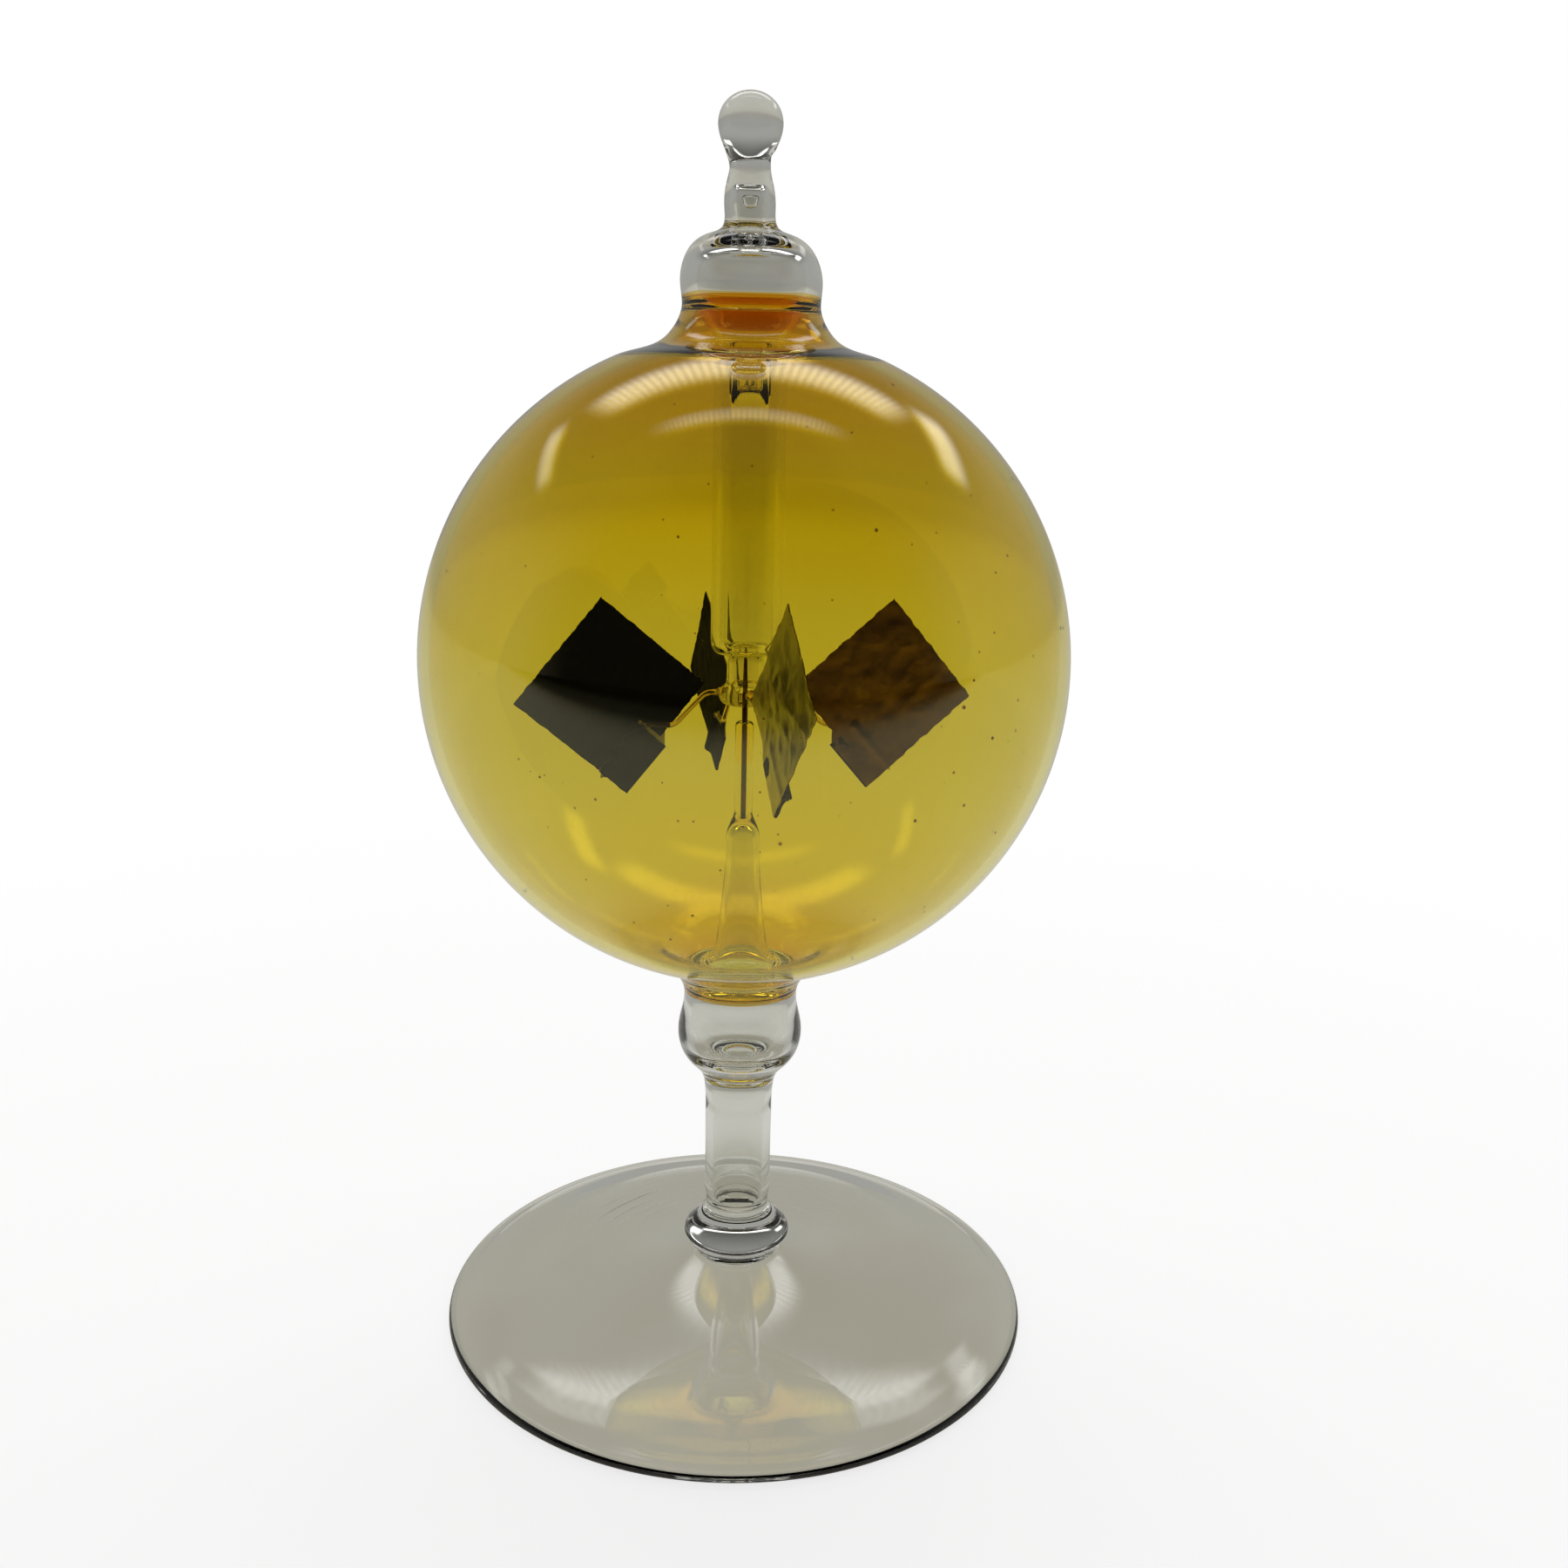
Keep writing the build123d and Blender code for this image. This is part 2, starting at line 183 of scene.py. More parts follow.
def make_plain(made, modifier):
    """Keeps what the modifier makes as the object's own mesh."""
    shaped = made.evaluated_get(bpy.context.evaluated_depsgraph_get())
    mesh = bpy.data.meshes.new_from_object(shaped)
    made.modifiers.remove(modifier)
    made.data = mesh


def to_object(name, bm, materials, sharp=None):
    mesh = bpy.data.meshes.new(name)
    bm.to_mesh(mesh)
    bm.free()
    for material in materials:
        mesh.materials.append(material)
    mesh.shade_smooth()
    if sharp:
        mesh.set_sharp_from_angle(angle=radians(sharp))
    made = bpy.data.objects.new(name, mesh)
    scene.collection.objects.link(made)
    return made


# Glass body, one continuous lampworked piece from the foot to the ball

globe_r, globe_z, wall = 40.0, 88.91, 1.3
shoulder_r = 16.0
drop = sqrt(globe_r**2 - shoulder_r**2)
shoulder_angle = 66.42
rim_r, rim_centre = 0.75, 38.15
rim_slope = radians(30)
lower_joint, upper_joint = 46.7, 131.85

foot_turn = (33.6, 3.35)
rim_top = (rim_centre + rim_r * sin(rim_slope), rim_r + rim_r * cos(rim_slope))
foot_side = spline([rim_top, (36.25, 2.35), foot_turn, (30.0, 4.15), (22.0, 5.4), (14.0, 6.65), (6.3, 9.02)],
                   (-cos(rim_slope), sin(rim_slope)), (-1, 0.42), 16)
underside = chain(
    [(5.8 * k / 8, 7.3) for k in range(9)],
    spline([(5.8, 7.3), (13.6, 4.85), (21.7, 3.6), (29.6, 2.35), (33.1, 1.5), (37.15, 0.0)], (1, -0.45),
           (1, -0.5), 16),
)
bead = spline([(6.3, 9.02), (6.4, 9.3), (7.03, 10.15), (6.1, 12.2), (4.22, 14.9), (4.4, 17.0)],
              (0.3, 0.4), (0.1, 1), 9)
stem = [(4.4, 17.0), (4.38, 18.0), (4.37, 22.0), (4.39, 26.0), (4.41, 29.5)]
knop = spline([(4.41, 29.5), (4.55, 32.0), (5.1, 34.0), (7.0, 36.2), (8.12, 40.4), (7.42, 44.0), (7.5, 46.1)],
              (0, 1), (0.25, 1), 8)
low_shoulder = spline([(7.5, 46.1), (9.15, 48.75), (12.0, 50.65), (shoulder_r, globe_z - drop)],
                      (0.25, 1), (drop, shoulder_r), 9)
ball_side = arc((0, globe_z), globe_r, -shoulder_angle, shoulder_angle, 88)
high_shoulder = spline([(shoulder_r, globe_z + drop), (10.6, 127.5), (8.95, 129.4), (8.23, upper_joint)],
                       (-drop, shoulder_r), (0.05, 1), 9)
cap = spline([(8.23, upper_joint), (8.42, 134.3), (7.95, 136.6), (7.0, 138.2), (5.2, 139.4), (3.3, 140.3)],
             (0.05, 1), (-0.9, 1), 8)
seal = spline([(3.3, 140.3), (3.0, 142.4), (2.88, 144.5), (2.4, 146.9), (2.5, 147.9)], (-0.7, 1), (0.3, 1), 8)
ball = spline([(2.5, 147.9), (3.25, 149.5), (3.78, 151.7), (3.12, 153.7), (1.75, 154.83), (0, 155.2)],
              (0.45, 1), (-1, 0), 7)
outer = chain(
    underside,
    [(37.6, 0.0)],
    arc((rim_centre, rim_r), rim_r, -90, 60, 14),
    foot_side, bead, stem, knop, low_shoulder, ball_side, high_shoulder, cap, seal, ball,
)

stem_bore = chain(
    [(0, 14.0)],
    spline([(0, 14.0), (2.6, 14.75), (3.36, 17.2)], (1, 0), (0, 1), 8),
    [(3.36, 22.0), (3.38, 28.0)],
    spline([(3.38, 28.0), (3.45, 31.5), (2.6, 33.6), (0, 34.2)], (0, 1), (-1, 0), 8),
)

post_inside = chain(
    spline([(0, 36.3), (4.6, 37.0), (6.35, 39.6), (6.1, 43.5), (5.3, 46.4)], (1, 0), (-0.35, 1), 8),
    spline([(5.3, 46.4), (3.4, 48.9), (2.55, 51.8), (2.0, 56.5), (1.6, 61.6), (1.4, 65.5)], (-0.6, 1), (-0.05, 1), 8),
    spline([(1.4, 65.5), (1.05, 67.1), (0, 67.7)], (0, 1), (-1, 0), 7),
)

inner_r = globe_r - wall
inner_drop = drop * inner_r / globe_r
vacuum = chain(
    [(0, 68.6), (0.41, 68.6), (0.41, 75.0), (0.41, 80.9)],
    spline([(0.41, 80.9), (0.78, 81.35), (1.16, 80.9)], (0, 1), (0, -1), 6),
    [(1.175, 76.0), (1.175, 69.6)],
    spline([(1.175, 69.6), (1.45, 68.55), (2.05, 67.0), (2.2, 65.2)], (0, -1), (0, -1), 7),
    spline([(2.2, 65.2), (2.3, 61.6), (2.62, 58.0), (2.95, 54.4), (3.4, 51.2), (4.4, 48.9), (6.4, 48.35)],
           (0, -1), (1, 0.3), 8),
    spline([(6.4, 48.35), (8.6, 50.3), (12.2, 52.15), (shoulder_r * inner_r / globe_r, globe_z - inner_drop)],
           (1, 0.5), (drop, shoulder_r), 8),
    arc((0, globe_z), inner_r, -shoulder_angle, shoulder_angle, 80),
    spline([(shoulder_r * inner_r / globe_r, globe_z + inner_drop), (9.9, 126.2), (7.9, 128.3), (6.85, 130.2)],
           (-drop, shoulder_r), (-0.25, 1), 8),
    spline([(6.85, 130.2), (6.5, 130.75), (6.05, 130.2)], (-0.3, 1), (-0.5, -1), 5),
    spline([(6.05, 130.2), (4.9, 128.2), (4.4, 125.6)], (-0.5, -1), (0, -1), 8),
    [(4.4, 118.0), (4.4, 108.0), (4.4, 98.0), (4.4, 92.6)],
    spline([(4.4, 92.6), (4.28, 91.0), (3.6, 90.1), (2.95, 90.15), (2.75, 90.6)], (0, -1), (0, 1), 7),
    spline([(2.75, 90.6), (3.1, 91.2), (3.4, 92.6)], (0.2, 1), (0, 1), 7),
    [(3.4, 98.0), (3.4, 108.0), (3.4, 118.0), (3.4, 125.6)],
    spline([(3.4, 125.6), (4.1, 128.6), (5.6, 131.0), (6.35, 133.0), (6.45, 134.8), (5.7, 136.7), (3.2, 137.9),
            (1.62, 139.4), (1.5, 141.4)], (0, 1), (0, 1), 8),
    spline([(1.5, 141.4), (1.5, 144.2), (1.2, 144.7), (0, 144.75)], (0, 1), (-1, 0), 7),
)


def cavity(points):
    """A hollow runs the other way round, so its faces look into it."""
    return list(reversed(points))


def smooth(x, low, high):
    """Goes from 0 at low to 1 at high without a kink."""
    t = min(1.0, max(0.0, (x - low) / (high - low)))
    return t * t * (3 - 2 * t)


def hand_work(r, z, a):
    """What the flame and the paddle left uneven: a top drawn a little off the axis, with a pinch
    under the ball, and shallow paddle marks on both sides of the foot's back."""
    shift = Vector((-0.42 * smooth(z, 131.0, 146.0), 0.1 * smooth(z, 136.0, 150.0), 0))
    pinch = 0.5 * exp(-((z - 147.6) / 0.8) ** 2) * cos(a - 0.6)
    marks = 0.0
    if 12.0 < r < 34.0 and z < 8.5:
        for middle, spread, near, far, depth in ((2.35, 0.42, 17.0, 27.0, 0.03), (0.95, 0.34, 16.0, 26.0, 0.022)):
            reach = smooth(r, near - 3.0, near) * (1 - smooth(r, far - 3.0, far))
            marks += depth * reach * exp(-((a - middle) / spread) ** 2) * sin(r * 3.1 + a * 2.5)
    return shift + Vector((0, 0, pinch + marks))


AMBER, CLEAR = 0, 1


def finish_by_part(profile):
    """The bulb's own wall is amber. Foot, stem, cap, post and guide tube are clear."""

    def pick(i):
        r, z = profile[i]
        in_bulb = lower_joint - 1.0 < z < upper_joint + 0.4
        post = r < 6.6 and z < 70.0
        guide = r < 6.9 and 89.0 < z < 128.0
        return AMBER if in_bulb and not (inner_wall and (post or guide)) else CLEAR

    inner_wall = min(z for r, z in profile) > 30.0
    return pick


body = bmesh.new()
add_lathe(body, outer, warp=hand_work, finish=finish_by_part(outer))
for hollow in (stem_bore, post_inside):
    add_lathe(body, cavity(hollow), finish=lambda i: CLEAR)
inside = cavity(vacuum)
add_lathe(body, inside, warp=hand_work, finish=finish_by_part(inside))

# Gas bubble shut in the front wall of the seal-off, flat on top
bubble_profile = spline([(0, 0), (0.62, 0.22), (0.86, 0.9), (0.9, 1.25), (0.72, 1.42), (0, 1.45)], (1, 0), (-1, 0), 5)
before = set(body.verts)
add_lathe(body, cavity(bubble_profile), turns=32, finish=lambda i: CLEAR)
for v in set(body.verts) - before:
    v.co = Vector((v.co.x, v.co.y * 0.34, v.co.z)) + Vector((-0.3, -2.28, 142.1)) * MM

# Vent slot through the front wall of the guide tube

def slot_cutter(width, height, centre_z, y_front, y_back):
    """Bar with rounded corners that cuts the slot from front to back, in millimetres."""
    bm = bmesh.new()
    rounding = height * 0.42
    ring = []
    side, rise = width / 2 - rounding, height / 2 - rounding
    for cx, cz, a0 in ((side, rise, 0), (-side, rise, 90), (-side, -rise, 180), (side, -rise, 270)):
        for k in range(7):
            a = radians(a0 + 15 * k)
            ring.append((cx + rounding * cos(a), centre_z + cz + rounding * sin(a)))
    front = [bm.verts.new((x * MM, y_front * MM, z * MM)) for x, z in ring]
    back = [bm.verts.new((x * MM, y_back * MM, z * MM)) for x, z in ring]
    bm.faces.new(front)
    bm.faces.new(list(reversed(back)))
    for k in range(len(ring)):
        n = (k + 1) % len(ring)
        bm.faces.new((front[n], front[k], back[k], back[n]))
    return to_object("vent_cutter", bm, [])


# Materials

def position(tree):
    return node(tree, "ShaderNodeTexCoord").outputs["Object"]


def height_mm(tree):
    split = node(tree, "ShaderNodeSeparateXYZ", None, Vector=position(tree))
    return node(tree, "ShaderNodeMath", {"operation": "MULTIPLY"}, i0=split.outputs["Z"], i1=1000.0).outputs[0]


def amber_glass():
    """Blown soda glass with an amber stain in the wall. The stain is deepest near both necks,
    where the glass was worked hottest, and it ends at the seals to the clear stem and cap."""
    made, tree = new_material("amber_blown_glass")
    along = node(tree, "ShaderNodeMapRange", None, Value=height_mm(tree), From_Min=44.0, From_Max=134.0)
    tint = ramp(tree, along.outputs[0], [
        (0.02, linear("EBB22E")),
        (0.07, linear("F3D03A")),
        (0.14, linear("F6E458")),
        (0.26, linear("F7EB7C")),
        (0.46, linear("F7EB78")),
        (0.60, linear("F7E768")),
        (0.72, linear("F7E34C")),
        (0.90, linear("F3D43E")),
        (0.975, linear("E9B43A")),
    ])
    streaks = node(tree, "ShaderNodeTexNoise", {"noise_dimensions": "3D"}, Vector=position(tree), Scale=26.0,
                   Detail=3.0, Roughness=0.5)
    cord = node(tree, "ShaderNodeBump", None, Strength=0.05, Distance=0.0004, Height=streaks.outputs["Fac"])
    glass = node(tree, "ShaderNodeBsdfPrincipled", None, Base_Color=tint, Roughness=0.0, IOR=1.5,
                 Transmission_Weight=1.0, Normal=cord.outputs["Normal"])
    node(tree, "ShaderNodeOutputMaterial", None, Surface=glass.outputs[0])
    return made


def clear_glass(name, tint, second_tint, scale, wave):
    """Flame-polished soda glass with faint draw waves: tints are its lightest and its deepest."""
    made, tree = new_material(name)
    draw = node(tree, "ShaderNodeTexNoise", {"noise_dimensions": "3D"}, Vector=position(tree), Scale=scale,
                Detail=2.0, Roughness=0.5)
    bump = node(tree, "ShaderNodeBump", None, Strength=wave, Distance=0.0004, Height=draw.outputs["Fac"])
    shade = ramp(tree, draw.outputs["Fac"], [(0.3, linear(tint)), (0.7, linear(second_tint))])
    glass = node(tree, "ShaderNodeBsdfPrincipled", None, Base_Color=shade, Roughness=0.0, IOR=1.5,
                 Transmission_Weight=1.0, Normal=bump.outputs["Normal"])
    node(tree, "ShaderNodeOutputMaterial", None, Surface=glass.outputs[0])
    return made


def rolled_foil(name, light, dark, film):
    """Thin rolled metal leaf, creased by hand: soft satin glints that break up along the creases."""
    made, tree = new_material(name)
    at = position(tree)
    crumple = node(tree, "ShaderNodeTexNoise", {"noise_dimensions": "3D"}, Vector=at, Scale=260.0, Detail=5.0,
                   Roughness=0.62, Distortion=0.6)
    stain = node(tree, "ShaderNodeTexNoise", {"noise_dimensions": "3D"}, Vector=at, Scale=130.0, Detail=4.0,
                 Roughness=0.6)
    facets = node(tree, "ShaderNodeTexVoronoi", {"feature": "SMOOTH_F1"}, Vector=at, Scale=330.0)
    height = node(tree, "ShaderNodeMath", {"operation": "ADD"}, i0=crumple.outputs["Fac"],
                  i1=facets.outputs["Distance"])
    bump = node(tree, "ShaderNodeBump", None, Strength=0.5, Distance=0.00022, Height=height.outputs[0])
    colour = ramp(tree, stain.outputs["Fac"], [(0.3, linear(dark)), (0.5, linear(film)), (0.72, linear(light))])
    rough = node(tree, "ShaderNodeMapRange", None, Value=crumple.outputs["Fac"], From_Min=0.3, From_Max=0.7,
                 To_Min=0.28, To_Max=0.46)
    metal = node(tree, "ShaderNodeBsdfPrincipled", None, Base_Color=colour, Metallic=1.0,
                 Roughness=rough.outputs[0], Normal=bump.outputs["Normal"])
    node(tree, "ShaderNodeOutputMaterial", None, Surface=metal.outputs[0])
    return made


def lamp_black(name, ground, worn):
    """Soot laid on with a smoky flame: nearly no reflection, with thin brownish patches."""
    made, tree = new_material(name)
    at = position(tree)
    grain = node(tree, "ShaderNodeTexNoise", {"noise_dimensions": "3D"}, Vector=at, Scale=2600.0, Detail=3.0,
                 Roughness=0.7)
    patch = node(tree, "ShaderNodeTexNoise", {"noise_dimensions": "3D"}, Vector=at, Scale=150.0, Detail=4.0,
                 Roughness=0.6)
    bump = node(tree, "ShaderNodeBump", None, Strength=0.35, Distance=0.00004, Height=grain.outputs["Fac"])
    colour = ramp(tree, patch.outputs["Fac"], [(0.45, linear(ground)), (0.75, linear(worn))])
    soot = node(tree, "ShaderNodeBsdfPrincipled", None, Base_Color=colour, Roughness=0.85, Specular_IOR_Level=0.2,
                Normal=bump.outputs["Normal"])
    node(tree, "ShaderNodeOutputMaterial", None, Surface=soot.outputs[0])
    return made


def needle_steel():
    """Hardened needle wire with a heat-browned skin, polished lengthwise."""
    made, tree = new_material("browned_needle_steel")
    at = node(tree, "ShaderNodeMapping", None, Vector=position(tree), Scale=(4000.0, 4000.0, 180.0))
    drawn = node(tree, "ShaderNodeTexNoise", {"noise_dimensions": "3D"}, Vector=at.outputs[0], Scale=1.0, Detail=3.0)
    colour = ramp(tree, drawn.outputs["Fac"], [(0.35, linear("2E1A10")), (0.7, linear("6B4A36"))])
    steel = node(tree, "ShaderNodeBsdfPrincipled", None, Base_Color=colour, Metallic=1.0, Roughness=0.34)
    node(tree, "ShaderNodeOutputMaterial", None, Surface=steel.outputs[0])
    return made


def seed_stone():
    """Brown stones and gas seeds shut in the wall of the bulb. They dim what is seen through them."""
    made, tree = new_material("brown_glass_seed")
    mottled = node(tree, "ShaderNodeTexNoise", {"noise_dimensions": "3D"}, Vector=position(tree), Scale=220.0)
    colour = ramp(tree, mottled.outputs["Fac"], [(0.35, linear("8C6A3C")), (0.65, linear("D0B884"))])
    stone = node(tree, "ShaderNodeBsdfPrincipled", None, Base_Color=colour, Roughness=0.1, IOR=1.06,
                 Transmission_Weight=1.0)
    node(tree, "ShaderNodeOutputMaterial", None, Surface=stone.outputs[0])
    return made


glass_material = amber_glass()
clear_material = clear_glass("clear_lampworked_glass", "F6F7F4", "F1F1EC", 60.0, 0.02)
hub_glass = clear_glass("clear_hub_glass", "F4F4F0", "EFECE4", 260.0, 0.1)
arm_glass = clear_glass("drawn_glass_filament", "E8D2A8", "D9BC86", 420.0, 0.1)
bright_foil = rolled_foil("rolled_metal_foil", "C9C6BC", "8E8A7E", "ACA89C")
browned_foil = rolled_foil("browned_metal_foil", "8E6E4E", "5A3F28", "74563A")
soot = lamp_black("lamp_black", "030303", "0D0B08")
thin_soot = lamp_black("thin_lamp_black", "0B0A08", "2A261F")
steel = needle_steel()
seeds_material = seed_stone()

glass_body = to_object("glass_body", body, [glass_material, clear_material], sharp=48)
cutter = slot_cutter(4.4, 2.4, 124.05, -6.0, -1.0)
cut = glass_body.modifiers.new("vent", "BOOLEAN")
cut.operation = "DIFFERENCE"
cut.object = cutter
cut.solver = "EXACT"
make_plain(glass_body, cut)
bpy.data.objects.remove(cutter, do_unlink=True)
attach(glass_body, "glass")
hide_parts("foot", "stem_bead", "stem_tube", "knop", "globe", "neck_cap", "finial_stem",
            "finial_ball", "guide_tube", "spindle_post", "needle_holder")


# Seeds scattered through the middle of the bulb's wall

def seed_tree():
    """Points on a sphere at mid-wall, denser towards the bottom and the right, each carrying a small
    rounded seed of its own size."""
    tree = bpy.data.node_groups.new("scattered_seeds", "GeometryNodeTree")
    tree.interface.new_socket("Geometry", in_out="INPUT", socket_type="NodeSocketGeometry")
    sockets = {}
    for name, value in (("Sphere Radius", 0.03935), ("Sphere Height", 0.08891), ("Density", 32000.0),
                        ("Smallest", 0.00005), ("Largest", 0.00027)):
        sockets[name] = tree.interface.new_socket(name, in_out="INPUT", socket_type="NodeSocketFloat")
        sockets[name].default_value = value
    tree.interface.new_socket("Geometry", in_out="OUTPUT", socket_type="NodeSocketGeometry")
    given = node(tree, "NodeGroupInput").outputs
    sphere = node(tree, "GeometryNodeMeshIcoSphere", None, Radius=given["Sphere Radius"], Subdivisions=5)
    split = node(tree, "ShaderNodeSeparateXYZ", None, Vector=node(tree, "GeometryNodeInputPosition").outputs[0])
    low = node(tree, "ShaderNodeMapRange", None, Value=split.outputs["Z"], From_Min=-0.039, From_Max=0.03,
               To_Min=1.0, To_Max=0.35)
    side = node(tree, "ShaderNodeMapRange", None, Value=split.outputs["X"], From_Min=-0.039, From_Max=0.039,
                To_Min=0.6, To_Max=1.0)
    thick = node(tree, "ShaderNodeMath", {"operation": "MULTIPLY"}, i0=low.outputs[0], i1=side.outputs[0])
    local = node(tree, "ShaderNodeMath", {"operation": "MULTIPLY"}, i0=thick.outputs[0], i1=given["Density"])
    height = node(tree, "ShaderNodeMath", {"operation": "ABSOLUTE"}, i0=split.outputs["Z"])
    off_necks = node(tree, "ShaderNodeMath", {"operation": "LESS_THAN"}, i0=height.outputs[0], i1=0.0352)
    points = node(tree, "GeometryNodeDistributePointsOnFaces", None, Mesh=sphere.outputs["Mesh"],
                  Selection=off_necks.outputs[0], Density=local.outputs[0], Seed=11)
    size = node(tree, "FunctionNodeRandomValue", {"data_type": "FLOAT"}, i2=0.0, i3=1.0, Seed=4)
    skewed = node(tree, "ShaderNodeMath", {"operation": "POWER"}, i0=size.outputs[1], i1=3.0)
    scale = node(tree, "ShaderNodeMapRange", None, Value=skewed.outputs[0], To_Min=given["Smallest"],
                 To_Max=given["Largest"])
    turn = node(tree, "FunctionNodeRandomValue", {"data_type": "FLOAT_VECTOR"}, i0=(0.0, 0.0, 0.0),
                i1=(6.28, 6.28, 6.28), Seed=8)
    seed = node(tree, "GeometryNodeMeshIcoSphere", None, Radius=1.0, Subdivisions=1)
    smooth_seed = node(tree, "GeometryNodeSetShadeSmooth", None, Geometry=seed.outputs["Mesh"])
    placed = node(tree, "GeometryNodeInstanceOnPoints", None, Points=points.outputs["Points"],
                  Instance=smooth_seed.outputs[0], Rotation=turn.outputs[0], Scale=scale.outputs[0])
    lift = node(tree, "ShaderNodeCombineXYZ", None, Z=given["Sphere Height"])
    joined = node(tree, "GeometryNodeRealizeInstances", None, Geometry=placed.outputs[0])
    raised = node(tree, "GeometryNodeTransform", None, Geometry=joined.outputs[0], Translation=lift.outputs[0])
    finished = node(tree, "GeometryNodeSetMaterial", None, Geometry=raised.outputs[0], Material=seeds_material)
    node(tree, "NodeGroupOutput", None, Geometry=finished.outputs[0])
    return tree, sockets


seeds = to_object("wall_seeds", bmesh.new(), [seeds_material])
scatter = seeds.modifiers.new("scatter", "NODES")
scatter.node_group, seed_sockets = seed_tree()
scatter[seed_sockets["Sphere Radius"].identifier] = (globe_r - wall / 2) * MM
scatter[seed_sockets["Sphere Height"].identifier] = globe_z * MM
make_plain(seeds, scatter)
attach(seeds, "glass")


# Needle

needle_profile = chain(
    [(0, 68.62), (0.33, 68.62), (0.34, 72.0), (0.34, 80.0)],
    spline([(0.34, 80.0), (0.34, 85.6), (0.24, 88.2), (0.06, 90.3), (0, 90.4)], (0, 1), (-1, 0), 6),
)
needle_bm = bmesh.new()
add_lathe(needle_bm, needle_profile, turns=32)
needle = to_object("needle_shaft", needle_bm, [steel])
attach(needle, "glass")
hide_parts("needle")


# Rotor: cup and hub bead in one piece of glass, with the arms fused into the bead

hub_profile = chain(
    spline([(1.64, 83.95), (2.3, 83.62), (3.1, 84.1), (3.28, 84.95), (2.95, 85.75), (2.42, 86.3)],
           (0.4, -1), (-0.3, 1), 7),
    [(2.34, 86.9), (2.335, 88.0)],
    arc((0, 89.015), 2.335, 0, 90, 16),
)
hub_inside = chain(
    [(1.64, 83.95), (1.62, 86.2), (1.635, 88.0)],
    arc((0, 88.865), 1.635, 0, 90, 14),
)
hub_bm = bmesh.new()
add_lathe(hub_bm, chain(cavity(hub_inside), hub_profile), turns=96)
hub = to_object("rotor_hub", hub_bm, [hub_glass])
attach(hub, "rotor")
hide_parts("bearing_cup", "hub_ring")

vane_side = 16.9
half_diagonal = vane_side / sqrt(2)
arm_r = 0.33
foil_half = 0.06
foil_z = 0.515
hem_start = 9.2
hub_middle = 84.91

# How the foil is cut and bent: the arm's line under it, the ridge there, the fold and its tear,
# and how far the torn edges stray
arm_line = 2.6
ridge_height, ridge_spread, ridge_lead = 0.16, 0.38, 0.3
fold_reach, tear_run = 1.17, 1.4
edge_stray, edge_trim = 0.16, 0.1

# The coat: where it stops by the hem, its gap to the foil and its depth
soot_edge, soot_gap, soot_depth = 3.35, 0.002, 0.075

# Degrees and millimetres
vane_columns = ("angle", "radius", "height", "droop", "lean", "foil", "crumple")
vanes = [dict(zip(vane_columns, row)) for row in (
    (13, 18.2, 84.91, 4.4, 0.0, browned_foil, 0.05),
    (106, 19.1, 83.51, 2.3, -3.4, bright_foil, 0.07),
    (193, 17.0, 85.31, 4.9, 0.0, bright_foil, 0.06),
    (286, 17.4, 86.51, -6.0, -3.6, bright_foil, 0.13),
)]


class VaneFrame:
    """Axes of one vane: along its hemmed edge, across the foil, and out of the bright face."""

    def __init__(self, angle, radius, height, droop, lean, **rest):
        a, d, l = radians(angle), radians(droop), radians(lean)
        self.outward = Vector((cos(a), sin(a), 0))
        sideways = self.outward.cross(Vector((0, 0, 1)))
        up = Vector((0, 0, 1)) * cos(l) + sideways * sin(l)
        to_corner = self.outward * cos(d) - up * sin(d)
        to_top = self.outward * sin(d) + up * cos(d)
        centre = self.outward * radius + Vector((0, 0, height))
        self.corner = centre - to_corner * half_diagonal
        self.along = (to_corner - to_top).normalized()
        self.across = (to_corner + to_top).normalized()
        self.bright = self.outward.cross(up)

    def place(self, u, v, w):
        return (self.corner + self.along * u + self.across * v + self.bright * w) * MM

    def local(self, p):
        d = p - self.corner
        return d.dot(self.along), d.dot(self.across)


def jag(s, seed, size):
    """Torn edge: how far the foil's edge strays at a distance s along it."""
    n = noise.noise(Vector((s * 0.9, seed * 7.3, 0.0))) + 0.6 * noise.noise(Vector((s * 3.1, seed * 3.1, 4.0)))
    return size * n


def crease(u, v, seed, size):
    """Height of the hand-creased foil over its flat plane."""
    p = Vector((u * 0.16, v * 0.16, seed * 5.7))
    broad = noise.noise(p) * 1.6
    ridged = 1.0 - abs(noise.noise(Vector((u * 0.34 + 9.0, v * 0.34, seed * 2.1)))) * 2.4
    fine = noise.noise(Vector((u * 0.9, v * 0.9, seed * 1.3))) * 0.45
    return size * (broad + ridged + fine)


def over_arm(u, v):
    """Ridge that the arm presses up in the foil."""
    if u <= hem_start - ridge_lead:
        return 0.0
    return ridge_height * exp(-((v - arm_line) / ridge_spread) ** 2)


